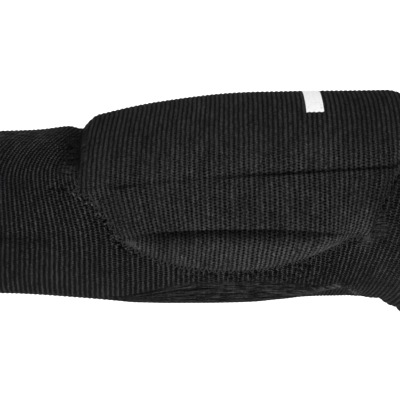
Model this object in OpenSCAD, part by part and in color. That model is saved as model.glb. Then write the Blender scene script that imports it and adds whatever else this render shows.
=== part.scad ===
// Padded elbow sleeve, in millimetres, in the shape that it takes on a bent arm.
// The origin is the centre of the elbow. The forearm lies along -X, the pad faces +Z and the
// upper arm leaves at +X, turned down by the rest bend. Angles round the arm start at the middle
// of the pad, and positive ones turn towards -Y, the right-hand side seen from the forearm cuff.

/* [Sleeve] */
// Thickness of the knitted sleeve wall
sleeve_wall = 2; // [1.2:0.1:3]
// Bore radius of the forearm cuff
forearm_cuff_r = 34; // [30:0.5:37]
// Bore radius of the sleeve from the pad to the elbow
elbow_r = 38.5; // [36:0.5:44]
// Bore radius of the upper-arm cuff
upper_cuff_r = 41; // [38:0.5:48]
// Plain sleeve between the forearm cuff and the pad
forearm_free = 42.5; // [25:0.5:80]
// Length over which the sleeve widens from the forearm cuff
forearm_taper = 77; // [30:1:90]
// Plain sleeve between the crook of the elbow and the upper-arm cuff
upper_free = 12; // [8:0.5:60]

/* [Cuffs] */
// Length of each cuff along the arm
cuff_length = 18; // [12:0.5:30]
// Thickness of each knitted layer in the folded hem
hem_layer = 1.2; // [0.8:0.1:2]
// Thickness of the elastic band in the hem
elastic_thick = 0.8; // [0.5:0.1:2]
// Play of the elastic band in its tunnel, on each side
elastic_play = 0.15; // [0.1:0.05:0.4]
// Space left between the elastic band and the open end of its tunnel
elastic_margin = 2; // [1:0.5:4]

/* [Elbow] */
// Bend of the sleeve at rest
rest_bend = 35; // [10:1:50]
// Further bend that the sleeve can take
flex_angle = 60; // [20:1:75]
// Angle left open between the two halves of the sleeve at full bend
flex_clear_angle = 3; // [1:0.5:8]
// Distance from the elbow centre to the end of each half of the sleeve
elbow_setback = 4; // [2:0.5:8]
// Length over which the sleeve turns the corner, on each side of it
bend_round = 11; // [6:0.5:14]
// Depth of the folds that gather in the crook of the elbow
crook_fold = 1.4; // [0:0.1:2.5]

/* [Pad] */
// Length of the pad along the forearm
pad_length = 149; // [110:1:170]
// Length of pad that runs on past the elbow centre
pad_overhang = 4.5; // [0:0.5:8]
// Thickness of the pad at its forearm end, cover included
pad_thick_forearm = 5.5; // [4.5:0.5:9]
// Thickness of the pad at the elbow, cover included
pad_thick_elbow = 12; // [9:0.5:18]
// Length over which the pad thickens from its forearm end
pad_thicken = 80; // [30:1:100]
// Length of the rounded shoulder at the forearm end
forearm_shoulder = 9; // [5:0.5:14]
// Length of the rounded shoulder at the elbow end
elbow_shoulder = 13; // [6:0.5:18]
// Length of the rounded shoulder along the sides
side_shoulder = 8; // [5:0.5:12]
// Thickness of the knitted pad cover
cover_wall = 1.6; // [1:0.1:2]
// Thickness of the cloth that the foam blocks are bonded to
backing_wall = 0.8; // [0.4:0.1:1]
// Depth of the upper fold on each side of the pad
crease_1_depth = 2.4; // [0.5:0.1:3]
// Depth of the lower fold on each side of the pad
crease_2_depth = 4.2; // [0.5:0.1:4.5]
// How much thinner the wings are than the blocks above them
wing_drop = 3.8; // [0:0.1:4.5]
// Width of each fold
crease_width = 7; // [4:0.5:9]
// Gap between neighbouring foam blocks
foam_gap = 1.2; // [0.6:0.1:2.5]
// Distance from the seam round the pad to the foam
seam_margin = 5; // [4:0.5:8]

/* [Pad outline] */
// Angle of the upper fold, the edge of the centre block
crease_1_angle = 53; // [40:1:58]
// Angle of the lower fold at the middle of the pad
crease_2_angle = 81; // [74:1:86]
// Angle of the lower fold's two ends, where the wing begins
corner_angle = 90; // [86:1:96]
// Angle of the wing's edge at the middle of the pad
wing_angle = 111; // [106:1:125]
// Lean of the wing's widest place, below 1 towards the forearm end
wing_lean = 0.8; // [0.7:0.05:1.3]
// Angle of the pad's edge at its forearm end
forearm_end_angle = 60; // [50:1:70]
// Angle of the pad's edge at its elbow end
elbow_end_angle = 40; // [32:1:60]
// Length of the slanted corner at the forearm end
forearm_corner = 18.5; // [10:0.5:30]
// Length of the slanted corner at the elbow end
elbow_corner = 21; // [14:0.5:30]
// Least angle that a block's strip narrows to at the pad's ends
least_band = 5; // [4:0.5:7]

/* [Thread and print] */
// Diameter of the sewing thread
thread_d = 0.6; // [0.3:0.1:1]
// Width of the zigzag seams
zigzag_width = 3.2; // [2:0.1:4]
// Distance between the points of a zigzag
zigzag_pitch = 3.5; // [3:0.1:6]
// Width of the plain printed bar along the arm
print_width = 7.5; // [4:0.5:12]
// Angle that the printed bar takes up round the arm
print_angle = 41; // [16:1:60]
// Distance from the pad's elbow end to the middle of the printed bar
print_setback = 47; // [25:1:70]
// Thickness of the printed film
print_film = 0.25; // [0.1:0.05:0.5]

/* [Hidden] */

knit_black = [0.06, 0.06, 0.065];
cuff_black = [0.05, 0.05, 0.055];
elastic_black = [0.1, 0.1, 0.1];
thread_black = [0.03, 0.03, 0.03];
foam_grey = [0.32, 0.33, 0.35];
backing_grey = [0.5, 0.5, 0.5];
print_white = [0.95, 0.95, 0.95];

// Clearances between pieces that lie on each other
face_gap = 0.2;
soft_gap = 0.3;
seat_gap = 0.45;
foam_clear = 1.3;
thread_sink = 0.1;

// Places along the arm: x on the forearm, s from the elbow on the upper arm
pad_x1 = pad_overhang;
pad_x0 = pad_overhang - pad_length;
forearm_sleeve_x = pad_x0 - forearm_free;
forearm_mouth_x = forearm_sleeve_x - cuff_length;
wing_x0 = pad_x0 + forearm_corner;
wing_x1 = pad_x1 - elbow_corner;
elbow_out_r = elbow_r + sleeve_wall;
bisector = rest_bend / 2;
crook_cut = bisector + (flex_angle + flex_clear_angle) / 2;
crook_reach = elbow_setback + elbow_out_r * tan(crook_cut);
upper_sleeve_s = crook_reach + upper_free;
upper_mouth_s = upper_sleeve_s + cuff_length;
upper_taper_s = elbow_out_r * tan(bisector) + bend_round;

// Numbers of steps in the meshed soft pieces
cover_steps = 20;
center_steps = 4;
side_steps = 2;
wing_steps = 4;
wing_length_steps = 14;
backing_steps = 16;
backing_columns = 22;
foam_center_steps = 12;
foam_side_steps = 4;
taper_steps = 7;
thread_sides = 6;
reach = 3 * elbow_out_r;

function lerp(a, b, t) = a + (b - a) * t;
function ramp(a, b, x) = min(1, max(0, (x - a) / (b - a)));
function ease(t) = t * t * (3 - 2 * t);
function rounded(t) = sqrt(1 - pow(1 - min(1, max(0, t)), 2));
function dense_ends(a, b, i, n) = lerp(a, b, (1 - cos(180 * i / n)) / 2);
function arc_deg(length, r) = length / r * 180 / PI;
function on_arm(x, angle, r) = [x, -r * sin(angle), r * cos(angle)];

// Bore of the sleeve at x on the forearm, and at s on the upper arm
function forearm_bore(x) = lerp(forearm_cuff_r, elbow_r,
    ease(ramp(forearm_sleeve_x, forearm_sleeve_x + forearm_taper, x)));
function upper_bore(s) = lerp(elbow_r, upper_cuff_r, ease(ramp(upper_taper_s, upper_sleeve_s, s)));
function sleeve_out_r(x) = forearm_bore(x) + sleeve_wall;

// Outline of the pad: its edge, and the two folds that divide it
function wing_share(x) = 1 - pow(2 * pow(ramp(wing_x0, wing_x1, x), wing_lean) - 1, 2);
function pad_edge(x) =
    x < wing_x0 ? lerp(forearm_end_angle, corner_angle, ramp(pad_x0, wing_x0, x)) :
    x > wing_x1 ? lerp(corner_angle, elbow_end_angle, ramp(wing_x1, pad_x1, x)) :
    lerp(corner_angle, wing_angle, wing_share(x));
function crease_2(x) = min(lerp(corner_angle - least_band, crease_2_angle, wing_share(x)),
    pad_edge(x) - least_band);
function crease_1(x) = min(crease_1_angle, crease_2(x) - least_band);

// Height of the pad over the sleeve, cover included, with its shoulders and folds
fold_half = arc_deg(crease_width / 2, elbow_out_r);
function fold_w(x) = min(fold_half, 0.35 * (crease_2(x) - crease_1(x)), 0.35 * (pad_edge(x) - crease_2(x)));
function pad_thick(x) = lerp(pad_thick_forearm, pad_thick_elbow,
    ease(ramp(pad_x0, pad_x0 + pad_thicken, x)));
function shoulder(x, angle) = rounded((x - pad_x0) / forearm_shoulder)
    * rounded((pad_x1 - x) / elbow_shoulder)
    * rounded((pad_edge(x) - abs(angle)) * PI / 180 * elbow_out_r / side_shoulder);
function fold_share(x) = ramp(pad_x0, wing_x0, x) * ramp(pad_x1, wing_x1, x) * pad_thick(x) / pad_thick_elbow;
function fold(x, angle, line, depth) = depth * max(0, 1 - abs(abs(angle) - line) / fold_w(x));
function step(x, angle, line) = abs(angle) < line ? fold(x, angle, line, crease_2_depth) :
    lerp(crease_2_depth, wing_drop, ramp(line, line + fold_w(x), abs(angle)));
function pad_height(x, angle) = pad_thick(x) * shoulder(x, angle)
    - fold_share(x) * (fold(x, angle, crease_1(x), crease_1_depth) + step(x, angle, crease_2(x)));
function cover_in_r(x, angle) = sleeve_out_r(x) + seat_gap + max(0, pad_height(x, angle) - cover_wall);
function cover_out_r(x, angle) = cover_in_r(x, angle) + cover_wall;
function backing_in_r(x) = sleeve_out_r(x) + seat_gap;
function foam_in_r(x) = backing_in_r(x) + backing_wall + soft_gap;
function foam_out_r(x, angle) = max(foam_in_r(x) + foam_gap / 2, cover_in_r(x, angle) - foam_clear);

// Closed solid between two grids of n + 1 by m + 1 points, the outer one first
function at(n, m, layer, i, j) = (layer * (n + 1) + i) * (m + 1) + j;
function quad(a, b, c, d) = [[a, b, c], [a, c, d]];
function short_quad(p, a, b, c, d) = norm(p[a] - p[c]) <= norm(p[b] - p[d]) ? quad(a, b, c, d) :
    quad(b, c, d, a);
function grid_faces(p, n, m) = [
    for (i = [0:n - 1], j = [0:m - 1]) each short_quad(p, at(n, m, 0, i, j), at(n, m, 0, i, j + 1),
        at(n, m, 0, i + 1, j + 1), at(n, m, 0, i + 1, j)),
    for (i = [0:n - 1], j = [0:m - 1]) each short_quad(p, at(n, m, 1, i, j), at(n, m, 1, i + 1, j),
        at(n, m, 1, i + 1, j + 1), at(n, m, 1, i, j + 1)),
    for (i = [0:n - 1]) each quad(at(n, m, 0, i, 0), at(n, m, 0, i + 1, 0),
        at(n, m, 1, i + 1, 0), at(n, m, 1, i, 0)),
    for (i = [0:n - 1]) each quad(at(n, m, 0, i, m), at(n, m, 1, i, m),
        at(n, m, 1, i + 1, m), at(n, m, 0, i + 1, m)),
    for (j = [0:m - 1]) each quad(at(n, m, 0, 0, j), at(n, m, 1, 0, j),
        at(n, m, 1, 0, j + 1), at(n, m, 0, 0, j + 1)),
    for (j = [0:m - 1]) each quad(at(n, m, 0, n, j), at(n, m, 0, n, j + 1),
        at(n, m, 1, n, j + 1), at(n, m, 1, n, j))];

module grid_solid(outer, inner, n, m) {
    points = concat(outer, inner);
    polyhedron(points = points, faces = grid_faces(points, n, m));
}

// Angles across the whole pad at x, with a line on each fold and one on each of its shoulders
function strip(a, b, n) = [for (k = [0:n]) lerp(a, b, k / n)];
function edge_strip(a, b, n) = [for (k = [0:n]) lerp(a, b, sin(90 * k / n))];
function pad_angles(x) = let (edge = pad_edge(x), one = crease_1(x), two = crease_2(x), w = fold_w(x),
        half = concat(strip(0, one - w, center_steps), [one], strip(one + w, two - w, side_steps), [two],
            edge_strip(two + w, edge, wing_steps)),
        last = len(half) - 1)
    concat([for (k = [last:-1:1]) -half[k]], half);

// Tube round a closed path of points, each with the direction that faces away from the arm
function unit(v) = v / norm(v);
function thread_ring(path, outward, k) = let (count = len(path),
        ahead = unit(path[(k + 1) % count] - path[(k + count - 1) % count]),
        side = unit(cross(ahead, outward[k])),
        up = cross(side, ahead))
    [for (q = [0:thread_sides - 1]) let (turn = 360 * q / thread_sides)
        path[k] + thread_d / 2 * (cos(turn) * side + sin(turn) * up)];

module thread_loop(path, outward) {
    count = len(path);
    points = [for (k = [0:count - 1]) each thread_ring(path, outward, k)];
    faces = [for (k = [0:count - 1], q = [0:thread_sides - 1])
        let (here = k * thread_sides, next = ((k + 1) % count) * thread_sides, r = (q + 1) % thread_sides)
        each quad(here + q, next + q, next + r, here + r)];
    polyhedron(points = points, faces = faces);
}

// Sleeve tubes about their own axes, before they are cut at the elbow
module forearm_tube() {
    xs = concat([for (k = [0:taper_steps]) forearm_sleeve_x + face_gap
        + k / taper_steps * (forearm_taper - face_gap)], [reach]);
    rotate([0, 90, 0]) rotate_extrude($fn = 60) polygon(concat(
        [for (x = xs) [forearm_bore(x), x]],
        [for (k = [len(xs) - 1:-1:0]) [forearm_bore(xs[k]) + sleeve_wall, xs[k]]]));
}

module upper_tube() {
    last = upper_sleeve_s - face_gap;
    ss = concat([-reach], [for (k = [0:taper_steps]) lerp(upper_taper_s, last, k / taper_steps)]);
    rotate([0, 90 + rest_bend, 0]) rotate_extrude($fn = 60) polygon(concat(
        [for (s = ss) [upper_bore(s), s]],
        [for (k = [len(ss) - 1:-1:0]) [upper_bore(ss[k]) + sleeve_wall, ss[k]]]));
}

// Extrudes an outline drawn in the plane of the bend right across the arm
module across() {
    rotate([90, 0, 0]) linear_extrude(2 * reach, center = true) children();
}

// The part of the bend plane that belongs to the forearm half, as far as the cut at the crook
module half_side() {
    far = 2 * reach;
    polygon([[-elbow_setback, far], [-elbow_setback, 0],
        [-elbow_setback - far * sin(crook_cut), -far * cos(crook_cut)],
        [-3 * far, -far * cos(crook_cut)], [-3 * far, far]]);
}

// Turns a piece of the forearm half into its mirror image on the upper arm
module upper_half() {
    rotate([0, rest_bend, 0]) mirror([1, 0, 0]) children();
}

module forearm_sleeve() {
    color(knit_black) intersection() {
        forearm_tube();
        across() half_side();
    }
}

module upper_arm_sleeve() {
    color(knit_black) intersection() {
        upper_tube();
        upper_half() across() half_side();
    }
}

// Lines along the elbow, from the cut of one half (0 the forearm, 1 the upper arm) to the plane that
// halves the bend: first straight, then round the corner, with every other point out in a fold
straight_steps = 3;
corner_steps = 3;
half_steps = straight_steps + corner_steps;
elbow_columns = 36;

function half_r(half, s, wall) = (half == 0 ? forearm_bore(-s) : upper_bore(s)) + wall;
function cut_s(half, turn, wall, s, tries) = let (next = elbow_setback
        + max(0, -cos(turn)) * half_r(half, s, wall) * tan(crook_cut))
    tries == 0 ? next : cut_s(half, turn, wall, next, tries - 1);
function bent(t, start, corner, finish) = (1 - t) * (1 - t) * start + 2 * t * (1 - t) * corner
    + t * t * finish;
function half_line(half, turn, wall) = let (
        height = half_r(half, 0, wall) * cos(turn),
        first = cut_s(half, turn, wall, 0, 4) - face_gap,
        corner = -height * tan(bisector),
        w = min(bend_round, 0.8 * (first - corner)),
        gather = crook_fold * pow(max(0, -cos(turn)), 2))
    [for (k = [0:half_steps])
        let (s = lerp(first, corner + w, k / straight_steps),
            t = (k - straight_steps) / corner_steps / 2,
            p = k < straight_steps ? [s, half_r(half, s, wall) * cos(turn)] :
                bent(t, [corner + w, height], [corner, height],
                    [corner - w * cos(rest_bend), height - w * sin(rest_bend)]),
            r = half_r(half, max(0, k < straight_steps ? s : 0), wall))
        [-p[0], -r * sin(turn), p[1] - (k % 2 == 0 ? 0 : gather)]];

// Mirror image across the plane that halves the bend
function turned(p) = let (u = [sin(bisector), 0, cos(bisector)], flat = [p[0], 0, p[2]])
    2 * (flat * u) * u - flat + [0, p[1], 0];
function elbow_line(turn, wall) = let (near = half_line(0, turn, wall), far = half_line(1, turn, wall))
    concat(near, [for (k = [half_steps - 1:-1:0]) turned(far[k])]);

function tube_at(n, m, layer, i, j) = (layer * m + j % m) * (n + 1) + i;
function tube_faces(n, m) = [
    for (i = [0:n - 1], j = [0:m - 1]) each quad(tube_at(n, m, 0, i, j), tube_at(n, m, 0, i, j + 1),
        tube_at(n, m, 0, i + 1, j + 1), tube_at(n, m, 0, i + 1, j)),
    for (i = [0:n - 1], j = [0:m - 1]) each quad(tube_at(n, m, 1, i, j), tube_at(n, m, 1, i + 1, j),
        tube_at(n, m, 1, i + 1, j + 1), tube_at(n, m, 1, i, j + 1)),
    for (j = [0:m - 1]) each quad(tube_at(n, m, 0, 0, j), tube_at(n, m, 1, 0, j),
        tube_at(n, m, 1, 0, j + 1), tube_at(n, m, 0, 0, j + 1)),
    for (j = [0:m - 1]) each quad(tube_at(n, m, 0, n, j), tube_at(n, m, 0, n, j + 1),
        tube_at(n, m, 1, n, j + 1), tube_at(n, m, 1, n, j))];

module elbow_sleeve() {
    turns = [for (j = [0:elbow_columns - 1]) 360 * j / elbow_columns];
    color(knit_black) polyhedron(
        points = concat([for (a = turns) each elbow_line(a, sleeve_wall)],
            [for (a = turns) each elbow_line(a, 0)]),
        faces = tube_faces(2 * half_steps, elbow_columns));
}

// Cuffs are drawn with the mouth at z = 0 and the sleeve in the direction of +Z
tunnel = elastic_thick + 2 * elastic_play;
hem_thick = 2 * hem_layer + tunnel;
fold_r = hem_thick / 2;
fold_steps = 6;

module cuff(bore) {
    rotate_extrude($fn = 60) polygon(concat(
        [[bore, cuff_length]],
        [for (k = [0:fold_steps]) let (turn = 180 * k / fold_steps)
            [bore + fold_r - fold_r * cos(turn), fold_r - fold_r * sin(turn)]],
        [[bore + hem_thick, cuff_length], [bore + hem_thick - hem_layer, cuff_length],
            [bore + hem_thick - hem_layer, fold_r], [bore + hem_layer, fold_r],
            [bore + hem_layer, cuff_length]]));
}

module elastic(bore) {
    inside = bore + hem_layer + elastic_play;
    rotate_extrude($fn = 60) polygon([[inside, fold_r + elastic_play],
        [inside + elastic_thick, fold_r + elastic_play],
        [inside + elastic_thick, cuff_length - elastic_margin], [inside, cuff_length - elastic_margin]]);
}

module hem_thread(bore) {
    r = bore + hem_thick + thread_d / 2 - thread_sink;
    points = 2 * round(PI * r / zigzag_pitch);
    angles = [for (k = [0:points - 1]) 360 * k / points];
    middle = cuff_length - zigzag_width / 2 - thread_d;
    thread_loop([for (k = [0:points - 1]) [r * cos(angles[k]), r * sin(angles[k]),
            middle + (k % 2 == 0 ? -0.5 : 0.5) * zigzag_width]],
        [for (a = angles) [cos(a), sin(a), 0]]);
}

module at_forearm_mouth() {
    translate([forearm_mouth_x, 0, 0]) rotate([0, 90, 0]) children();
}

module at_upper_mouth() {
    rotate([0, rest_bend, 0]) translate([upper_mouth_s, 0, 0]) rotate([0, -90, 0]) children();
}

module forearm_cuff() { color(cuff_black) at_forearm_mouth() cuff(forearm_cuff_r); }
module forearm_cuff_elastic() { color(elastic_black) at_forearm_mouth() elastic(forearm_cuff_r); }
module forearm_hem_thread() { color(thread_black) at_forearm_mouth() hem_thread(forearm_cuff_r); }
module upper_arm_cuff() { color(cuff_black) at_upper_mouth() cuff(upper_cuff_r); }
module upper_arm_cuff_elastic() { color(elastic_black) at_upper_mouth() elastic(upper_cuff_r); }
module upper_arm_hem_thread() { color(thread_black) at_upper_mouth() hem_thread(upper_cuff_r); }

// Knitted cover, domed over the foam and drawn in along the folds
module pad_cover() {
    xs = [for (i = [0:cover_steps]) dense_ends(pad_x0, pad_x1, i, cover_steps)];
    columns = 2 * (center_steps + side_steps + wing_steps + 4);
    color(knit_black) grid_solid(
        [for (x = xs, a = pad_angles(x)) on_arm(x, a, cover_out_r(x, a))],
        [for (x = xs, a = pad_angles(x)) on_arm(x, a, cover_in_r(x, a))],
        cover_steps, columns);
}

// Ends of the foam and its backing, inside the seam
foam_x0 = pad_x0 + seam_margin;
foam_x1 = pad_x1 - seam_margin;
edge_inset = arc_deg(seam_margin, elbow_out_r);
half_gap = arc_deg(foam_gap / 2, elbow_out_r);
wing_ends = seam_margin + forearm_shoulder / 2;

// Cloth that the blocks are bonded to, as wide as the foam
function foam_edge(x) = max(crease_1(x), pad_edge(x) - edge_inset);
module pad_backing() {
    columns = backing_columns;
    function spread(x) = [for (k = [0:columns]) lerp(-foam_edge(x), foam_edge(x), k / columns)];
    xs = [for (i = [0:backing_steps]) dense_ends(foam_x0, foam_x1, i, backing_steps)];
    color(backing_grey) grid_solid(
        [for (x = xs, a = spread(x)) on_arm(x, a, backing_in_r(x) + backing_wall)],
        [for (x = xs, a = spread(x)) on_arm(x, a, backing_in_r(x))],
        backing_steps, columns);
}

// Foam block between two lines, each given by the angles at every x
module foam_block(xs, low, high, steps) {
    n = len(xs) - 1;
    function angle(i, j) = lerp(low[i], high[i], j / steps);
    color(foam_grey) grid_solid(
        [for (i = [0:n], j = [0:steps]) on_arm(xs[i], angle(i, j), foam_out_r(xs[i], angle(i, j)))],
        [for (i = [0:n], j = [0:steps]) on_arm(xs[i], angle(i, j), foam_in_r(xs[i]))],
        n, steps);
}

foam_xs = [for (i = [0:cover_steps]) dense_ends(foam_x0, foam_x1, i, cover_steps)];
side_xs = [for (i = [0:cover_steps]) dense_ends(wing_x0 - forearm_corner / 2, wing_x1 + elbow_corner / 2,
    i, cover_steps)];
wing_xs = [for (i = [0:wing_length_steps]) lerp(wing_x0 + wing_ends, wing_x1 - wing_ends,
    i / wing_length_steps)];
function side_high(x) = min(crease_2(x) - half_gap, pad_edge(x) - edge_inset);

module center_foam_block() {
    high = [for (x = foam_xs) min(crease_1(x), pad_edge(x) - edge_inset) - half_gap];
    foam_block(foam_xs, -high, high, foam_center_steps);
}

module side_foam_block() {
    foam_block(side_xs, [for (x = side_xs) crease_1(x) + half_gap], [for (x = side_xs) side_high(x)],
        foam_side_steps);
}

module wing_foam_block() {
    foam_block(wing_xs, [for (x = wing_xs) crease_2(x) + half_gap],
        [for (x = wing_xs) pad_edge(x) - edge_inset], foam_side_steps);
}

module right_side_foam_block() { side_foam_block(); }
module left_side_foam_block() { mirror([0, 1, 0]) side_foam_block(); }
module right_wing_foam_block() { wing_foam_block(); }
module left_wing_foam_block() { mirror([0, 1, 0]) wing_foam_block(); }

// Zigzag that sews the edge of the cover to the sleeve, all round the pad
side_points = 2 * round(pad_length / zigzag_pitch / 2);
function end_points(angle) = 2 * round(angle * PI / 180 * elbow_out_r / zigzag_pitch);
function flank(k) = let (x = lerp(pad_x0, pad_x1, k / side_points)) [x, pad_edge(x)];
function swing(k) = k % 2 == 0 ? 0 : zigzag_width;

function seam_line() = concat(
    [for (k = [0:side_points - 1]) let (p = flank(k)) [p[0], p[1] - arc_deg(swing(k), elbow_out_r)]],
    let (n = end_points(elbow_end_angle)) [for (k = [0:n - 1])
        [pad_x1 - swing(k), lerp(elbow_end_angle, -elbow_end_angle, k / n)]],
    [for (k = [0:side_points - 1]) let (p = flank(side_points - k))
        [p[0], -p[1] + arc_deg(swing(k), elbow_out_r)]],
    let (n = end_points(forearm_end_angle)) [for (k = [0:n - 1])
        [pad_x0 + swing(k), lerp(-forearm_end_angle, forearm_end_angle, k / n)]]);

module pad_seam_thread() {
    line = seam_line();
    color(thread_black) thread_loop(
        [for (p = line) on_arm(p[0], p[1], cover_out_r(p[0], p[1]) + thread_d / 2 - thread_sink)],
        [for (p = line) on_arm(0, p[1], 1)]);
}

// Plain printed bar across the top of the pad
module print_bar() {
    n = 2;
    m = 10;
    middle = pad_x1 - print_setback;
    xs = [for (i = [0:n]) middle + print_width * (i / n - 0.5)];
    angles = [for (j = [0:m]) print_angle * (j / m - 0.5)];
    color(print_white) grid_solid(
        [for (x = xs, a = angles) on_arm(x, a, cover_out_r(x, a) + thread_sink + print_film)],
        [for (x = xs, a = angles) on_arm(x, a, cover_out_r(x, a) + thread_sink)], n, m);
}

forearm_sleeve();
elbow_sleeve();
upper_arm_sleeve();
forearm_cuff();
forearm_cuff_elastic();
forearm_hem_thread();
upper_arm_cuff();
upper_arm_cuff_elastic();
upper_arm_hem_thread();
pad_cover();
pad_backing();
center_foam_block();
right_side_foam_block();
left_side_foam_block();
right_wing_foam_block();
left_wing_foam_block();
pad_seam_thread();
print_bar();
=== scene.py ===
import bpy
import math
import numpy as np
from mathutils import Matrix, Vector


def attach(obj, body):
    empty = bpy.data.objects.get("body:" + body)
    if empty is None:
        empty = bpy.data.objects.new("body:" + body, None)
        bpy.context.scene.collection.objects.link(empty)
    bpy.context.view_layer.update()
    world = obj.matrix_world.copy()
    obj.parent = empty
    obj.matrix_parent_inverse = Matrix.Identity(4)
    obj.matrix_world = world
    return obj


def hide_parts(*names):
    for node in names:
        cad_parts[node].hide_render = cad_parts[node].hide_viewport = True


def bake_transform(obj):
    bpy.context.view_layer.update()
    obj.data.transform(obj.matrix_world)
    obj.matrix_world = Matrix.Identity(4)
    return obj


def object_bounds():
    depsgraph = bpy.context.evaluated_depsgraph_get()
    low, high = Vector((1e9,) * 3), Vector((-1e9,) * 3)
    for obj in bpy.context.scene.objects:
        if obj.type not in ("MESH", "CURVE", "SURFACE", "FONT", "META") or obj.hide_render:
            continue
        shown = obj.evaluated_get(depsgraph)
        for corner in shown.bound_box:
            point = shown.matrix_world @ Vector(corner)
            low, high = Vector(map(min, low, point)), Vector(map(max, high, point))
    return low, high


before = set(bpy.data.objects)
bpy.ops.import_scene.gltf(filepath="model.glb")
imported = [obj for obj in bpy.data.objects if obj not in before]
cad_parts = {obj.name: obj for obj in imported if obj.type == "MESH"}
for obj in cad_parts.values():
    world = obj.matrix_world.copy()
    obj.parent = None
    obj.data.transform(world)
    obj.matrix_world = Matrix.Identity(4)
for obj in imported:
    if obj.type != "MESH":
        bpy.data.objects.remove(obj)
cadBox = [list(corner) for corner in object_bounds()]
print("frame loaded")

# Lengths are millimetres in the part's frame, angles are degrees round the arm from the middle of the pad
mm = 0.001
arm = {
    "bend": 35.0, "forearmR": 34.0, "elbowR": 38.5, "upperR": 41.0, "wall": 2.0,
    "sleeveX": -187.0, "taper": 77.0, "mouthX": -205.0, "cuffLength": 18.0,
    "upperSleeveS": 62.59, "upperMouthS": 80.59, "upperTaperS": 23.8,
    "bendRound": 13.0, "fan": 58.0, "ribPitch": 2.12, "ribRound": 0.75, "wales": 262,
}
halfBend = math.radians(arm["bend"] / 2)


def ramp(a, b, x):
    return np.clip((np.asarray(x, float) - a) / (b - a), 0, 1)


def ease(t):
    return t * t * (3 - 2 * t)


def fade(a, b, x):
    return ease(ramp(a, b, x))


def bell(middle, width, x):
    return np.exp(-0.5 * ((x - middle) / width) ** 2)


def ridge(middle, width, x):
    return np.exp(-((x - middle) / width) ** 2)


def decay(start, reach, x):
    return np.exp(-np.maximum(start - x, 0) / reach)


def bent(power):
    return lambda a, b, x: np.power(ramp(a, b, x), power)


# A strength times shapes along named coordinates, each given as a shape, a coordinate and two measures
def product(at, strength, *factors):
    for shape, name, a, b in factors:
        strength = strength * shape(a, b, at[name])
    return strength


def total(at, rows):
    return sum(product(at, *row) for row in rows)


# A coordinate that is a share already
def of(name):
    return ramp, name, 0, 1


def quarterWave(t):
    return np.sin(np.pi / 2 * t)


# Millimetres round the arm at radius r
def arc(degrees, r):
    return np.radians(degrees) * r


def rounded(t):
    return np.sqrt(1 - (1 - np.clip(t, 0, 1)) ** 2)


# Smooth repeatable waviness from a few sines, each turned from the last
goldenAngle = 2.399


def wander(x, y, seed):
    waviness = 0
    for k in range(5):
        a = seed * 1.7 + k * goldenAngle
        f = 0.6 + 0.55 * k
        waviness = waviness + np.sin(f * (x * math.cos(a) + y * math.sin(a)) + a * 5.1) / (1 + 0.5 * k)
    return waviness / 2.6


def forearmOut(x):
    grow = ease(ramp(arm["sleeveX"], arm["sleeveX"] + arm["taper"], x))
    return arm["forearmR"] + (arm["elbowR"] - arm["forearmR"]) * grow + arm["wall"]


def upperOut(s):
    grow = ease(ramp(arm["upperTaperS"], arm["upperSleeveS"], s))
    return arm["elbowR"] + (arm["upperR"] - arm["elbowR"]) * grow + arm["wall"]


def roundArm(x, degrees, r):
    x, degrees, r = np.broadcast_arrays(np.asarray(x, float), degrees, r)
    turn = np.radians(degrees)
    return np.stack([x, -r * np.sin(turn), r * np.cos(turn)], -1)


def onForearm(x, degrees, lift):
    return roundArm(x, degrees, forearmOut(x) + lift)


# Place on the bent sleeve: q below 0 on the forearm and above 0 on the upper arm, fanning out at the elbow
def onSleeve(q, degrees, lift):
    q, degrees, lift = np.broadcast_arrays(np.asarray(q, float), degrees, lift)
    turn = np.radians(degrees)
    along = -np.abs(q)
    r = np.where(q > 0, upperOut(np.abs(q)), forearmOut(q)) + lift
    z = r * np.cos(turn)
    corner = z * math.tan(halfBend)
    x = along + ease(ramp(-arm["fan"], 0, along)) * corner
    w = arm["bendRound"]
    t = np.clip(0.5 * (1 - (corner - x) / w), 0, 0.5)
    bent = corner - x < w
    bx = (1 - t) ** 2 * (corner - w) + 2 * t * (1 - t) * corner
    bx = bx + t * t * (corner + w * math.cos(2 * halfBend))
    bz = z - t * t * w * math.sin(2 * halfBend)
    x, z = np.where(bent, bx, x), np.where(bent, bz, z)
    ux, uz = math.sin(halfBend), math.cos(halfBend)
    dot = x * ux + z * uz
    x, z = np.where(q > 0, 2 * dot * ux - x, x), np.where(q > 0, 2 * dot * uz - z, z)
    return np.stack([x, -r * np.sin(turn), z], -1)


# Points given on a straight arm whose +X leaves the elbow, set on the upper arm
def onUpperArm(points):
    c, s = math.cos(2 * halfBend), math.sin(2 * halfBend)
    x, y, z = points[..., 0], points[..., 1], points[..., 2]
    return np.stack([x * c + z * s, y, z * c - x * s], -1)


# Mesh making: the baking map gives a shell's outer face, inner face and rim their own heights
bake = {"sheet": (0.005, 0.995), "outer": (0.004, 0.86), "inner": (0.875, 0.985), "rim": 0.995}
tube = {"sides": 6, "tip": (0.3, 0.5), "tackShift": 2}  # the shift sets the tacks apart in the Knit map


def newObject(name, points, faces, material, maps):
    mesh = bpy.data.meshes.new(name)
    points = np.asarray(points, np.float32).reshape(-1, 3) * mm
    faces = np.asarray(faces, np.int32)
    mesh.vertices.add(len(points))
    mesh.vertices.foreach_set("co", points.ravel())
    mesh.loops.add(faces.size)
    mesh.loops.foreach_set("vertex_index", faces.ravel())
    mesh.polygons.add(len(faces))
    mesh.polygons.foreach_set("loop_start", np.arange(0, faces.size, 4, dtype=np.int32))
    mesh.polygons.foreach_set("use_smooth", np.ones(len(faces), bool))
    mesh.update(calc_edges=True)
    for title, values in maps.items():
        mesh.uv_layers.new(name=title).data.foreach_set("uv", np.asarray(values, np.float32).ravel())
    mesh.materials.append(material)
    made = bpy.data.objects.new(name, mesh)
    bpy.context.scene.collection.objects.link(made)
    return made


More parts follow.
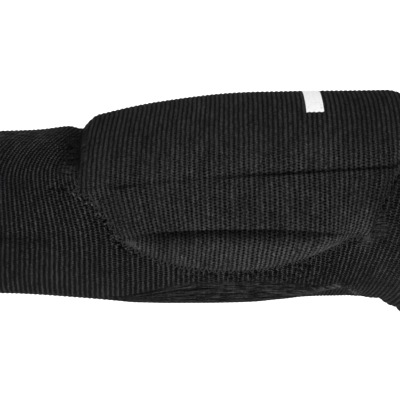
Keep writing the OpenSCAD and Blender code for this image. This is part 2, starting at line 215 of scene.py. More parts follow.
# Corners of each face of an n by m grid, as rows and columns; a closed grid has one more column of faces
def gridCorners(n, m, closed, flip):
    i, j = np.meshgrid(np.arange(n - 1), np.arange(m if closed else m - 1), indexing="ij")
    corners = [(i, j), (i, j + 1), (i + 1, j + 1), (i + 1, j)]
    return corners[::-1] if flip else corners


def gridFaces(n, m, start, closed, flip):
    corners = gridCorners(n, m, closed, flip)
    return np.stack([a * m + b % m for a, b in corners], -1).reshape(-1, 4) + start


# Map coordinates at the corners of the same faces
# around is what a value gains over one turn of a closed grid
def gridMap(u, v, closed, flip, aroundU=0.0, aroundV=0.0):
    if closed:
        u, v = np.concatenate([u, u[:, :1] + aroundU], 1), np.concatenate([v, v[:, :1] + aroundV], 1)
    corners = gridCorners(u.shape[0], u.shape[1], False, flip)
    return np.stack([np.stack([u[a, b], v[a, b]], -1) for a, b in corners], -2).reshape(-1, 2)


def spread(n, m, closed, low, high):
    u = np.linspace(0, 1, m + 1)[None, :m] if closed else np.linspace(0, 1, m)[None, :]
    v = np.linspace(low, high, n)[:, None]
    return np.broadcast_arrays(u, v)


# One open grid of points as a piece
def gridObject(name, grid, material, knit, tone, pull):
    n, m = grid.shape[:2]
    return newObject(name, grid, gridFaces(n, m, 0, False, False), material, {
        "Knit": gridMap(*knit, False, False), "Tone": gridMap(*tone, False, False),
        "Pull": gridMap(*pull, False, False),
        "OFBake": gridMap(*spread(n, m, False, *bake["sheet"]), False, False)})


# Thin closed piece from an outer and an inner grid with the same columns, joined along their rims
def shellObject(name, outer, inner, closed, material, knit, knitInner, tone=None, waleTurn=0.0, pull=None):
    n, m = outer.shape[:2]
    k = inner.shape[0]
    faces = [gridFaces(n, m, 0, closed, False), gridFaces(k, m, n * m, closed, True)]
    j = np.arange(m if closed else m - 1)
    j2 = (j + 1) % m
    first, last = n * m, n * m + (k - 1) * m
    faces.append(np.stack([j2, j, j + first, j2 + first], -1))
    faces.append(np.stack([j + (n - 1) * m, j2 + (n - 1) * m, j2 + last, j + last], -1))
    if not closed:
        i = np.arange(n - 1) * m
        faces.append(np.stack([i, i + m, i + m + first, i + first], -1))
        i = i + m - 1
        faces.append(np.stack([i + m, i, i + first, i + m + first], -1))
    rims = 4 * sum(len(f) for f in faces[2:])
    turn = 1.0 if closed else 0.0
    maps = {
        "Knit": np.concatenate([gridMap(*knit, closed, False, 0, waleTurn),
                                gridMap(*knitInner, closed, True, 0, waleTurn), np.zeros((rims, 2))]),
        "OFBake": np.concatenate([gridMap(*spread(n, m, closed, *bake["outer"]), closed, False, turn),
                                  gridMap(*spread(k, m, closed, *bake["inner"]), closed, True, turn),
                                  np.full((rims, 2), bake["rim"])])}
    plain = np.tile((1.0, 0.0), (len(maps["Knit"]), 1))
    if tone is not None:
        plain[:4 * len(faces[0])] = gridMap(*tone, closed, False)
    maps["Tone"] = plain
    if pull is not None:
        maps["Pull"] = 0 * plain
        maps["Pull"][:4 * len(faces[0])] = gridMap(*pull, closed, False)
    points = np.concatenate([outer.reshape(-1, 3), inner.reshape(-1, 3)])
    return newObject(name, points, np.concatenate(faces), material, maps)


# Tubes along lines of points, each with the direction that faces out at every point
def tubeObject(name, runs, material):
    allPoints, allFaces, allMaps, start, sides = [], [], [], 0, tube["sides"]
    tip, grow = tube["tip"]
    for line, outward, radius, closed in runs:
        line, outward = np.asarray(line, float), np.asarray(outward, float)
        count = len(line)
        ahead = np.roll(line, -1, 0) - np.roll(line, 1, 0) if closed else np.gradient(line, axis=0)
        ahead /= np.linalg.norm(ahead, axis=1, keepdims=True)
        side = np.cross(ahead, outward)
        side /= np.linalg.norm(side, axis=1, keepdims=True)
        up = np.cross(side, ahead)
        turn = np.arange(sides) * 2 * math.pi / sides
        size = np.full(count, radius) if closed else radius * np.clip(
            np.minimum(np.arange(count), np.arange(count)[::-1]) * grow + tip, 0, 1)
        ring = line[:, None] + size[:, None, None] * (
            np.cos(turn)[None, :, None] * side[:, None] + np.sin(turn)[None, :, None] * up[:, None])
        i, j = np.meshgrid(np.arange(count if closed else count - 1), np.arange(sides), indexing="ij")
        i2, j2 = (i + 1) % count, (j + 1) % sides
        quads = np.stack([i * sides + j, i2 * sides + j, i2 * sides + j2, i * sides + j2], -1)
        length = np.concatenate([[0], np.cumsum(np.linalg.norm(np.diff(line, axis=0), axis=1))])
        length = np.append(length, length[-1] * count / max(count - 1, 1))
        along = np.stack([length[i], length[i + 1], length[i + 1], length[i]], -1)
        about = np.stack([j, j, j + 1, j + 1], -1) / sides + (0 if closed else tube["tackShift"])
        allPoints.append(ring.reshape(-1, 3))
        allFaces.append(quads.reshape(-1, 4) + start)
        allMaps.append(np.stack([along, about], -1).reshape(-1, 2))
        start += count * sides
    return newObject(name, np.concatenate(allPoints), np.concatenate(allFaces), material,
                     {"Knit": np.concatenate(allMaps)})


# Shader sockets with arithmetic
class Wire:
    def __init__(self, tree, out=None):
        self.tree, self.out = tree, out

    def make(self, kind, inputs=(), output=0, **settings):
        made = self.tree.nodes.new(kind)
        for name, value in settings.items():
            setattr(made, name, value)
        for place, value in dict(inputs).items():
            if isinstance(value, Wire):
                self.tree.links.new(value.out, made.inputs[place])
            else:
                made.inputs[place].default_value = value
        return Wire(self.tree, made.outputs[output])

    def maths(self, operation, *values):
        return self.make("ShaderNodeMath", dict(enumerate(values)), operation=operation)

    def __add__(self, other):
        return self.maths("ADD", self, other)

    def __radd__(self, other):
        return self.maths("ADD", other, self)

    def __sub__(self, other):
        return self.maths("SUBTRACT", self, other)

    def __rsub__(self, other):
        return self.maths("SUBTRACT", other, self)

    def __mul__(self, other):
        return self.maths("MULTIPLY", self, other)

    def __rmul__(self, other):
        return self.maths("MULTIPLY", other, self)

    def other(self, output):
        return Wire(self.tree, self.out.node.outputs[output])

    # Cosine wave of period 1 between 0 and 1, highest at whole numbers
    def wave(self):
        return self.maths("COSINE", self * (2 * math.pi)) * 0.5 + 0.5

    def between(self, low, high):
        return self.make("ShaderNodeMapRange", {0: self, 1: low, 2: high}, interpolation_type="SMOOTHSTEP")

    def colour(self, low, high):
        return self.make("ShaderNodeMix", {0: self, 6: (*low, 1), 7: (*high, 1)}, output=2,
                         data_type="RGBA", clamp_factor=False)


def newMaterial(name, constants):
    material = bpy.data.materials.new(name)
    material.use_nodes = True
    shader = material.node_tree.nodes["Principled BSDF"]
    for place, value in constants.items():
        shader.inputs[place].default_value = value
    return material, Wire(material.node_tree), shader


def link(wire, shader, place):
    wire.tree.links.new(wire.out, shader.inputs[place])


def noise(start, place, scale, detail=2.0):
    return start.make("ShaderNodeTexNoise", {"Vector": place, "Scale": scale, "Detail": detail})


def bump(start, shader, height, depth, strength=0.7):
    inputs = {"Strength": strength, "Distance": depth * mm, "Height": height}
    made = start.make("ShaderNodeBump", inputs, "Normal")
    link(made, shader, "Normal")


# Object coordinates, and the two values of one of a piece's maps
def objectPlace(start):
    return start.make("ShaderNodeTexCoord", output="Object")


def mapValues(start, title):
    return start.make("ShaderNodeSeparateXYZ", {0: start.make("ShaderNodeUVMap", uv_map=title)})


def grey(value, blue=1.04):
    return (value, value, value * blue)


# Sizes of the knit's irregular parts, as noise scales
grain = {
    "sway": 260.0, "swayFine": 620.0, "tangle": 560.0, "yarn": 850.0, "fuzz": 1700.0, "cloud": 45.0,
    "streak": 1.8, "streakAlong": (0.1, 1.0, 1.0),
}


# Ribbed stretch knit: light ropes of loops with rows of dark holes between them, from the Knit map's ribs
# and stitches. The Tone map holds brightness, with light and shade painted into it, and a second value,
# which tangles the knit where it is above 0, draws it into streaks along the Pull map towards -1 and smooths
# it towards -2
def knitMaterial(name, look):
    material, start, shader = newMaterial(name, {"Specular IOR Level": look["shine"]})
    place = objectPlace(start)
    knit = mapValues(start, "Knit")
    tone = mapValues(start, "Tone")
    mess = tone.maths("MAXIMUM", tone.other(1), 0)
    smooth = tone.maths("MINIMUM", tone.maths("MAXIMUM", 0 - tone.other(1), 0), 1)
    flat = (0 - tone.other(1)).between(1.0, 2.0)
    sway = noise(start, place, grain["sway"], 1.0) + noise(start, place, grain["swayFine"], 1.0) * 0.8 - 0.9
    tangle = noise(start, place, grain["tangle"], 2.0) - 0.5
    yarn = noise(start, place, grain["yarn"], 2.0).between(0.02, 0.98)
    fuzz = noise(start, place, grain["fuzz"], 3.0)
    cloud = noise(start, place, grain["cloud"], 3.0)
    pulled = start.make("ShaderNodeUVMap", uv_map="Pull")
    pulled = start.make("ShaderNodeVectorMath", {0: pulled, 1: grain["streakAlong"]}, operation="MULTIPLY")
    streak = noise(start, pulled, grain["streak"], 3.0).between(0.36, 0.64) * (1 - flat) + 0.6 * flat
    course = knit + sway * look["uneven"] + tangle * mess * 3.0
    wale = knit.other(1) + sway * (look["uneven"] * 1.5) + tangle * mess * 4.0
    row = course.maths("FLOOR", course + 0.5)
    rope = noise(start, start.make("ShaderNodeCombineXYZ", {0: row * 7.31, 1: wale * 0.09}), 1.0, 3.0)
    rib = course.wave().between(look["ribFrom"], look["ribTo"])
    stagger = course.maths("FRACT", course.maths("FLOOR", course) * 0.5)
    valley = start.make("ShaderNodeCombineXYZ", {0: course.maths("FLOOR", course) * 5.17, 1: wale * 0.07})
    holes = knit.maths("ABSOLUTE", knit.other(1)).between(*look["plain"])
    bridge = look["bridge"] * (0.55 + 0.45 * holes)
    holes = holes * noise(start, valley, 1.0, 2.0).between(0.3, 0.62)
    hole = (wale + stagger).wave().between(*look["hole"]) * (0.15 + 0.85 * holes)
    strand = (wale + stagger + 0.5).wave()
    value = (rib + (1 - rib) * (1 - hole) * bridge) * (1 - look["loops"] + look["loops"] * strand)
    value = value * (1 - smooth) + smooth * (0.14 + 0.8 * streak)
    value = value * (look["even"] + (1 - look["even"]) * ((yarn + rope) * (1 - flat) + flat)) * tone
    flecks = (tangle * 2.0 + yarn - 0.5) * mess
    lint = (cloud - 0.5) * look["cloud"] + (fuzz - 0.5) * look["fuzz"]
    value = value + flecks * 2.2 + lint * (0.3 + rib * (1 - smooth))
    value = value.maths("MAXIMUM", value, 0)
    value = value * (0.35 + 0.65 * value)
    link(value.colour(grey(look["dark"]), grey(look["light"])), shader, "Base Color")
    link(0.8 + 0.18 * yarn, shader, "Roughness")
    ribbed = rib * 0.6 + strand * 0.3 - (1 - rib) * hole * 0.6
    relief = ribbed * (1 - smooth) + smooth * streak * 0.5 + fuzz * 0.2 + flecks
    bump(start, shader, relief, look["relief"])
    return material


# Twisted thread, paler on the tacks
def threadMaterial(name, dark, light):
    material, start, shader = newMaterial(name, {"Roughness": 0.65, "Specular IOR Level": 0.2})
    knit = mapValues(start, "Knit")
    place = objectPlace(start)
    twist = (knit * 1.6 + knit.other(1)).wave()
    fuzz = noise(start, place, 2500.0)
    pale = 1 + 1.1 * knit.other(1).between(1.4, 1.9)
    link(((twist * 0.7 + fuzz * 0.4) * pale).colour(grey(dark), grey(light)), shader, "Base Color")
    bump(start, shader, twist, 0.08)
    return material


def foamMaterial(name):
    material, start, shader = newMaterial(name, {"Specular IOR Level": 0.3})
    place = objectPlace(start)
    cells = start.make("ShaderNodeTexVoronoi", {"Vector": place, "Scale": 800.0}, "Distance")
    cloud = noise(start, place, 60.0, 3.0)
    link((cells * 0.8 + cloud * 0.4).colour(grey(0.05), grey(0.15)), shader, "Base Color")
    link(0.75 + 0.2 * cells, shader, "Roughness")
    bump(start, shader, cells, 0.2)
    return material


# Over-and-under weave from the Knit map, whose units are threads
def weaveMaterial(name, dark, light, depth):
    material, start, shader = newMaterial(name, {"Roughness": 0.85, "Specular IOR Level": 0.2})
    place = objectPlace(start)
    knit = mapValues(start, "Knit")
    warp, weft = knit.wave(), knit.other(1).wave()
    over = ((knit + knit.other(1)) * 0.5).wave()
    cover = warp * over + weft * (1 - over)
    cloud = noise(start, place, 500.0)
    link((cover * 0.75 + cloud * 0.4).colour(grey(dark), grey(light)), shader, "Base Color")
    bump(start, shader, cover, depth)
    return material


def filmMaterial(name):
    material, start, shader = newMaterial(name, {"Specular IOR Level": 0.35})
    place = objectPlace(start)
    wear = noise(start, place, 900.0, 4.0)
    link(wear.between(0.28, 0.45).colour(grey(0.7, 1.0), grey(0.95, 1.0)), shader, "Base Color")
    link(0.45 + 0.25 * wear, shader, "Roughness")
    bump(start, shader, wear, 0.06, 0.4)
    return material


# What the knits share, and what each has of its own; plain is where holes begin, in stitches from the top
knitLook = {"dark": 0.001, "uneven": 0.3, "shine": 0.012}
sleeveKnit = knitMaterial("SleeveKnit", {
    **knitLook, "light": 0.047, "ribFrom": 0.34, "ribTo": 0.9, "hole": (0.2, 0.7), "plain": (-2, -1),
    "loops": 0.9, "bridge": 0.41, "even": 0.15, "cloud": 0.3, "fuzz": 1.7, "relief": 0.35})
coverKnit = knitMaterial("CoverKnit", {
    **knitLook, "light": 0.0365, "ribFrom": 0.12, "ribTo": 0.7, "hole": (0.3, 0.8), "plain": (16, 36),
    "loops": 0.42, "bridge": 0.62, "even": 0.15, "cloud": 0.3, "fuzz": 1.3, "relief": 0.35})
cuffKnit = knitMaterial("CuffKnit", {
    **knitLook, "light": 0.05, "ribFrom": 0.35, "ribTo": 0.9, "hole": (0.2, 0.7), "plain": (-2, -1),
    "loops": 0.6, "bridge": 0.46, "even": 0.2, "cloud": 0.25, "fuzz": 0.9, "relief": 0.3})
threadBlack = threadMaterial("SewingThread", 0.006, 0.031)
foamGrey = foamMaterial("ClosedCellFoam")
backingCloth = weaveMaterial("BackingCloth", 0.07, 0.22, 0.15)
elasticBand = weaveMaterial("ElasticBand", 0.015, 0.10, 0.25)
whiteFilm = filmMaterial("PrintFilm")
print("materials made")

# Pad shape, shared by the cover, the foam, the backing, the seam and the print
pad = {
    "x0": -144.5, "x1": 4.5, "end0": 60.0, "end1": 40.0, "curve0": 1.6,  # ends, with half widths in degrees
    "wingX0": -126.0, "wingX1": -21.0, "wingEnd": -28.0, "corner": 90.0, "wing": 112.0, "lean": 0.92,
    "thin": 3.1, "thick": 11.8, "thicken": 80.0, "swell": 1.15,
    "setBack": 1.3, "shoulder0": 8.2, "full0": 0.75, "shoulder1": 13.0,
    "shoulderSide": 8.5, "softer": 4.0, "softerX": (-48, -24), "fullSide": 0.9, "rimR": 42.0, "margin": 5.0,
}


def wingShare(x):
    return 1 - (2 * np.power(ramp(pad["wingX0"], pad["wingEnd"], x), pad["lean"]) - 1) ** 2


# Half width of the pad, in degrees
def padEdge(x):
    corner = pad["corner"]
    left = pad["end0"] + (corner - pad["end0"]) * np.power(ramp(pad["x0"], pad["wingX0"], x), pad["curve0"])
    right = corner + (pad["end1"] - corner) * (1 - ramp(pad["x1"], pad["wingX1"], x) ** 2)
    middle = corner + (pad["wing"] - corner) * wingShare(x)
    return np.where(x < pad["wingX0"], left, np.where(x > pad["wingX1"], right, middle))


# Two folds on each side of the pad: their angles, and their depths and widths in millimetres
# The upper one is sharp towards the elbow and fades over the forearm
folds = {
    "first": (59.0, 52.0), "firstX": (-130, -2), "firstR": 50.0, "line": (1.1, 0.8), "dip": (0.9, 4.5),
    "sharp": ((0.3,), (0.7, (fade, "x", -92, -58)), (0.4, (bell, "x", -125, 5))), "firstEnd": (-8, -15),
    "second": 81.0, "secondR": 48.0, "lip": 1.5, "lipWidth": 1.0, "step": 0.3, "drop": 4.0, "under": 7.2,
    "underWidth": 3.6, "belly": 0.9, "bellyAt": (13, 5), "ends": 0.03,
    "band": 5.0, "bandEnd": 0.2, "bandX": (-7, -20),
}


def strip(x):
    return folds["band"] * (folds["bandEnd"] + (1 - folds["bandEnd"]) * ramp(*folds["bandX"], x))


def crease2(x):
    low = pad["corner"] - folds["band"]
    return np.minimum(low + (folds["second"] - low) * wingShare(x), padEdge(x) - strip(x))


def crease1(x):
    low, high = folds["first"]
    return np.minimum(low + (high - low) * ramp(*folds["firstX"], x), crease2(x) - strip(x))


# Height of the pad's outer face over the sleeve
def padHeight(x, degrees):
    t = np.abs(degrees)
    grow = np.power(quarterWave(ramp(pad["x0"], pad["x0"] + pad["thicken"], x)), pad["swell"])
    thick = pad["thin"] + (pad["thick"] - pad["thin"]) * grow
    start = quarterWave(ramp(pad["x0"] + pad["setBack"], pad["x0"] + pad["shoulder0"], x))
    finish = rounded((pad["x1"] - x) / pad["shoulder1"])
    reach = pad["shoulderSide"] + pad["softer"] * fade(*pad["softerX"], x)
    side = quarterWave(np.clip(arc(padEdge(x) - t, pad["rimR"]) / reach, 0, 1))
    d1 = arc(t - crease1(x), folds["firstR"])
    d2 = arc(t - crease2(x), folds["secondR"])
    first = sum(depth * ridge(0, width, d1) for depth, width in (folds["line"], folds["dip"]))
    first = first * total({"x": x}, folds["sharp"]) * ramp(*folds["firstEnd"], x)
    below = np.maximum(d2, 0)
    sunk = folds["drop"] + (folds["under"] - folds["drop"]) * ridge(0, folds["underWidth"], below)
    sunk = sunk - folds["belly"] * bell(*folds["bellyAt"], below)
    second = np.where(d2 < 0, folds["lip"] * np.exp(np.minimum(d2, 0) / folds["lipWidth"]),
                      folds["lip"] + (sunk - folds["lip"]) * (1 - np.exp(-below / folds["step"])))
    share = ramp(pad["x0"], pad["wingX0"], x) * ramp(pad["x1"], pad["wingX1"], x) * thick / pad["thick"]
    depth = share * (first + second * np.sqrt(folds["ends"] + (1 - folds["ends"]) * wingShare(x)))
    full = np.power(start, pad["full0"]) * finish * np.power(side, pad["fullSide"])
    return np.maximum(thick * full - depth, 0)


# Line of the seams at the pad's lower corners, and how tangled the knit is between its points
cornerX = (pad["x0"] + pad["wingX0"]) / 2
tangled = {
    "points": ((-153.0, 55.0), (pad["x0"], pad["end0"]), (cornerX, float(padEdge(cornerX))),
               (pad["wingX0"], pad["corner"]), (-121.0, 93.0), (pad["wingX1"] - 3, 93.0),
               (pad["wingX1"], pad["corner"]), (-15.5, 71.0), (-9.0, 55.0), (pad["x1"], pad["end1"])),
    "strengths": (0.3, 0.5, 0.8, 0.9, 0.0, 0.6, 0.35, 0.25, 0.15), "width": 2.9,
}


def seamMess(x, degrees):
    t, mess, points = np.abs(degrees), 0, tangled["points"]
    for (x0, t0), (x1, t1), strength in zip(points[:-1], points[1:], tangled["strengths"]):
        ax, ay = x1 - x0, arc(t1 - t0, pad["rimR"])
        px, py = x - x0, arc(t - t0, pad["rimR"])
        u = np.clip((px * ax + py * ay) / (ax * ax + ay * ay), 0, 1)
        away = (px - u * ax) ** 2 + (py - u * ay) ** 2
        mess = np.maximum(mess, strength * np.exp(-away / tangled["width"] ** 2))
    return mess


# Coordinates for the tables: x along the pad, q along the sleeve, d and t round the arm with and without sign
def padPlaces(x, degrees):
    return {"x": x, "d": degrees, "t": np.abs(degrees)}


# The seam on the elbow's side of the pad shows as a broken dark line
darkSeam = (-0.75, (ramp, "broken", -0.3, 0.2), (ridge, "fromSeam", 0.2, 0.8),
            (fade, "t", 42, 48), (fade, "t", 84, 66))


def seamPlaces(x, degrees):
    at = padPlaces(x, degrees)
    edge = pad["x1"] + (pad["wingX1"] - pad["x1"]) * np.sqrt(ramp(pad["end1"], pad["corner"], at["t"]))
    at["seamed"], at["fromSeam"] = seamMess(x, degrees), x - edge
    at["broken"] = wander(at["t"] / 3.4 + 2.5, 0, 4.0)
    return at


# Brightness, with its painted light and shade, and a value above 0 where the knit is tangled and below 0
# where it is smooth
def toneMap(at, shades, smooth, mess):
    shade = 1
    for group in shades:
        shade = shade * (1 + total(at, group))
    return np.broadcast_arrays(shade, np.where(mess > smooth, mess, -smooth))


# Sideways drift of the ribs: loose everywhere, and led by the table of each piece
def ribDrift(at, along, rows, seed):
    return 0.3 * wander(along / 17, at["d"] / 14, seed) + total(at, rows)


def ribShape(course):
    return np.power(0.5 + 0.5 * np.cos(2 * np.pi * course), arm["ribRound"]) - 1


# Knitted sleeve in one length, from hem to hem
sleeve = {
    "rows": 640, "innerRows": 60, "rib": 0.34, "pressed": 0.8, "thick": 1.7, "wales": 216,
    "columns": ((0, 62, 38), (62, 112, 24), (112, 166, 60), (166, 180, 8)), "lap": 0.6, "r": 40.0,
    "flat": (0.225, 0.25), "bend": ((-0.030, 0, -0.010), (0.034, 0, -0.030)),
}
betweenHems = (ramp, "q", -187, -181), (ramp, "q", 62.6, 57)

# Fold in the crook of the arm, long on the forearm's side and steep on the other
crook = {"angle": 150.0, "rise": 22.0, "q": -27.0, "widths": (17.5, 8.8)}

# Pleats that the knit under the pad is drawn into, from a top line below the pad down to the bottom line
# The deepest are broken lines, each with its share of the way down and its strength
pleats = {
    "top": ((121.0,), (19.0, (bent(1.6), "q", -92, -128)), (8.0, (ramp, "q", -66, -36))), "bottom": 158.0,
    "lines": ((0.05, 1.0), (0.2, 0.8), (0.38, 1.0), (0.6, 0.8)), "width": 0.7, "depth": 0.6, "count": 10,
    "ends": ((fade, "q", -138, -124), (fade, "q", -34, -48)), "gaps": (-0.6, 0.3),
}
drawn = (fade, "pastTop", -2.5, 2.5), (fade, "q", -142, -122), (fade, "q", -30, -46)

# Crushed knit between the pad's edge and the pleats
crushed = (fade, "q", -110, -88), (fade, "q", -28, -48), (fade, "pastEdge", -2, 3), (fade, "pastTop", 3, -3)


def pleatLines(at):
    deep = 0
    for k, (share, strength) in enumerate(pleats["lines"]):
        broken = ramp(*pleats["gaps"], wander(at["q"] / 8 + 9 * k, 3.0 * k, 4.0))
        away = arc(at["pastTop"] - share * at["span"], sleeve["r"])
        deep = deep + strength * broken * ridge(0, pleats["width"], away)
    return deep * product(at, 1, *pleats["ends"])


# Adds how far a place is past the crook's fold, the pleats' top line and the pad's edge, and down the pleats
def sleevePlaces(q, degrees):
    at = {**seamPlaces(onSleeve(q, degrees, 0)[..., 0], degrees), "q": q}
    top = total(at, pleats["top"])
    width = np.where(q < crook["q"], *crook["widths"])
    fold = crook["angle"] - crook["rise"] * bell(crook["q"], width, q)
    at["past"] = arc(at["t"] - fold, sleeve["r"])
    at["pastTop"], at["span"] = at["t"] - top, pleats["bottom"] - top
    at["pastEdge"] = at["t"] - padEdge(np.clip(at["x"], pad["x0"], pad["x1"]))
    at["down"] = at["pastTop"] / at["span"]
    at["lines"] = pleatLines(at)
    return at


# Soft forms of the sleeve, in millimetres
roll = (fade, "q", -56, -42), (fade, "q", -12, -18)
crown = (bell, "d", -14, 34), (ramp, "q", -145, -150), *betweenHems
forms = (
    (1.2, (fade, "t", 110, 150), (bell, "q", -90, 24)),  # bagging under the arm
    (-0.9, (fade, "t", 112, 150), (fade, "q", -72, -46), (fade, "q", 18, 0)),  # tuck towards the crook
    (1.7, (ridge, "past", 0, 1.3), *roll), (-0.5, (fade, "past", 0, 2.5), *roll),  # edge of the crook's fold
    (0.3, *crown), (0.5, (bell, "q", -152, 5), *crown), (0.8, (bell, "q", -184, 11), *crown),
    (-1.0, (bell, "q", -144.3, 2.6), (ramp, "t", 70, 50)),  # dip at the pad's forearm end
    (-1.3, (bell, "q", -149, 4), (bell, "d", 22, 13)),  # hollow before it
    (0.9, (bell, "q", -151, 5.5), (bell, "t", 50, 12)),  # swelling on both sides
)
waves = {
    "pleats": (0.25, *drawn, (fade, "t", 168, 155)),
    "crook": (0.8, (fade, "t", 118, 165), (bell, "q", 12, 12)),
    "hollow": (0.4, (bell, "q", -149.5, 4), (fade, "d", 2, 10), (fade, "d", 44, 36)),
    "soft": (0.35, *betweenHems), "puckers": (0.5, of("seamed")),
}


def sleeveLift(at):
    q, degrees, down, around = at["q"], at["d"], at["down"], arc(at["t"], sleeve["r"])
    shapes = {
        "pleats": np.sin(2 * np.pi * pleats["count"] * down + 1.1 * wander(q / 11, 5 * down, 3.0)),
        "crook": np.sin((q - 0.16 * (180 - at["t"])) * 2 * np.pi / 12),
        "hollow": np.sin(degrees * 0.7 * 2 * np.pi / 2.6 + 1.6 * wander(q / 2.2, degrees / 9, 7.0)),
        "soft": wander(q / 14, around / 13, 1.0), "puckers": wander(q * 1.1, around * 1.1, 5.0),
    }
    lift = total(at, forms) - pleats["depth"] * at["lines"]
    return lift + sum(product(at, *row) * shapes[name] for name, row in waves.items())


sleeveDrift = (
    (-8.2, (bell, "t", 43, 20), (decay, "q", pad["x0"], 27),  # bowed round the pad
     (ramp, "q", -187, -165), (ramp, "q", -110, -130)),
    (-3.4, (ramp, "t", 84, 140), (ramp, "q", -90, -165)),  # under the arm
    (13.0, (fade, "d", 50, -16), (fade, "d", -85, -30), (fade, "q", -96, -146)),  # lying over by the pad
    (-0.5, (fade, "q", -84, -34), (fade, "t", 87, 128), (ramp, "q", 40, 0)),  # fanning out of the crook
)

# Light and dark on the sleeve, much of it painted light and shade: shades in one pair of brackets add up, and
# the brackets multiply
hollow = (fade, "d", -2, 16), (fade, "d", 50, 34), (fade, "q", -153.5, -146), (ramp, "q", -138, -142)
knot = (bell, "q", -149, 3), (bell, "d", 45, 4.5)
nearCrook = (fade, "q", -60, -44), (fade, "q", -10, -18)
lip = *nearCrook, (fade, "past", 0, 2), (fade, "past", 11, 5)
crest = *nearCrook, (ridge, "past", 0, 1.7)
softSeam = of("seamed"), (ramp, "q", -30, -20)
sleeveShades = (
    # Painted shade in the hollow before the pad's forearm end and a painted shadow further left; knot
    # lightens a small spot
    [(-0.53, *hollow), (-0.14, (bell, "q", -161, 7), (bell, "d", 25, 12)), (0.1, *knot)],
    [(-0.3, (bell, "d", 90, 2.5), (ramp, "q", -150, -166))],  # painted shade of a soft fold along the near side
    [(0.34, (fade, "d", 40, 8), (fade, "q", -150, -162))],  # painted light from above, on the top of the forearm
    # Painted highlight on the crook's fold ridge and its lip, and painted shade in the pleats' deep lines
    [(0.42, *crest), (0.1, *lip)], [(-0.9, of("lines"))], [(-0.14, *drawn)], [(-0.12, *crushed)],
    [(-0.1, (fade, "q", -40, -22), (fade, "q", 12, 0), (fade, "t", 60, 72), (fade, "t", 104, 92))],
    # First: painted light on the sleeve beside the seam at the pad's elbow end, lifting the shade of the
    # pad's wall
    [(0.4, *softSeam)], [darkSeam], [(0.12, (ramp, "q", -25, 5))],
    [(0.5, (bell, "q", -24, 2.5), (bell, "t", 96, 3))],  # beside the tack
    [(-0.07, (ramp, "q", -142, -160), (ramp, "d", 30, 60))],
)
sleeveSmooth = (
    (0.7, *hollow), (0.45, *knot), (0.35, *lip), (1.3, *crest), (1.4, *softSeam),
    (0.85, *drawn, (fade, "t", 172, 156)), (0.45, (bell, "d", 2, 13), (ramp, "q", -148, -154)),
    (0.28, (ramp, "q", -26, -8), (ramp, "t", 50, 70)), (1.2, (bell, "x", -15.8, 1.6), (bell, "t", 84, 3.5)),
)
sleeveMess = (1, of("seamed")), (-1, *softSeam), (0.2, *crushed)


# Place across the streaks of drawn knit, which are wider in the hollow than in the pleats
def pullAcross(at):
    inHollow = (at["q"] < -140) & (at["t"] < 62)
    return np.where(inHollow, 0.4 * at["d"], np.sign(at["d"]) * (40 + 26 * at["down"]))


def sleeveCourse(at):
    return (at["q"] - ribDrift(at, at["q"], sleeveDrift, 6.0)) / arm["ribPitch"]


def sleeveAngles():
    parts = [np.linspace(low, high, count, endpoint=False) for low, high, count in sleeve["columns"]]
    half = np.concatenate(parts)
    return np.concatenate([[-180.0], -half[:0:-1], half])[None, :]


def makeSleeve():
    ends = arm["sleeveX"] - sleeve["lap"], arm["upperSleeveS"] + sleeve["lap"]
    q = np.linspace(*ends, sleeve["rows"])[:, None]
    innerQ = np.linspace(*ends, sleeve["innerRows"])[:, None]
    degrees = sleeveAngles()
    at, innerAt = sleevePlaces(q, degrees), sleevePlaces(innerQ, degrees)
    course, wale = sleeveCourse(at), degrees / 360 * sleeve["wales"]
    pressed = sleeve["pressed"] * np.maximum(product(at, 1, *drawn), product(at, 1, *crushed))
    ribs = product(at, sleeve["rib"], *betweenHems) * ribShape(course) * (1 - pressed)
    outer = onSleeve(q, degrees, sleeveLift(at) + ribs)
    inner = onSleeve(innerQ, degrees, sleeveLift(innerAt) - sleeve["thick"])
    tone = toneMap(at, sleeveShades, total(at, sleeveSmooth), total(at, sleeveMess))
    made = shellObject("knit_sleeve", outer, inner, True, sleeveKnit, np.broadcast_arrays(course, wale),
                       np.broadcast_arrays(sleeveCourse(innerAt), wale), tone, sleeve["wales"],
                       np.broadcast_arrays(q, pullAcross(at)))
    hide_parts("forearm_sleeve", "elbow_sleeve", "upper_arm_sleeve")
    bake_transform(made)
    print("sleeve", len(made.data.polygons))


# Knitted cover over the pad, with columns drawn together at its two folds
cover = {
    "rows": 560, "half": (34, 34, 34), "rib": 0.36, "pitch": 2.08, "thick": 1.3, "flat": (0.2, 0.155),
    "seat": -0.35, "rise": 0.8, "riseOver": 2.0, "tuck": 0.9, "tuckOver": 6.0, "ribOver": 1.5,
    "soft": 0.25, "softOver": (1, 8), "pucker": 0.5, "pullR": 45.0,
}


# Height of the cover without its ribs, and how far the ribs have risen at its rim
def coverLift(x, degrees):
    inside = np.minimum(x - pad["x0"], pad["x1"] - x)
    inside = np.minimum(arc(padEdge(x) - np.abs(degrees), pad["rimR"]), inside)
    seat = cover["seat"] + cover["rise"] * ramp(0, cover["riseOver"], inside)
    seat = seat - cover["tuck"] * ramp(pad["x0"] + cover["tuckOver"], pad["x0"], x)
    soft = cover["soft"] * wander(x / 16, degrees / 11, 2.0) * ramp(*cover["softOver"], inside)
    puckers = cover["pucker"] * seamMess(x, degrees) * wander(x * 1.1, arc(degrees, 46), 5.0)
    return seat + padHeight(x, degrees) + soft + puckers, ramp(0, cover["ribOver"], inside)


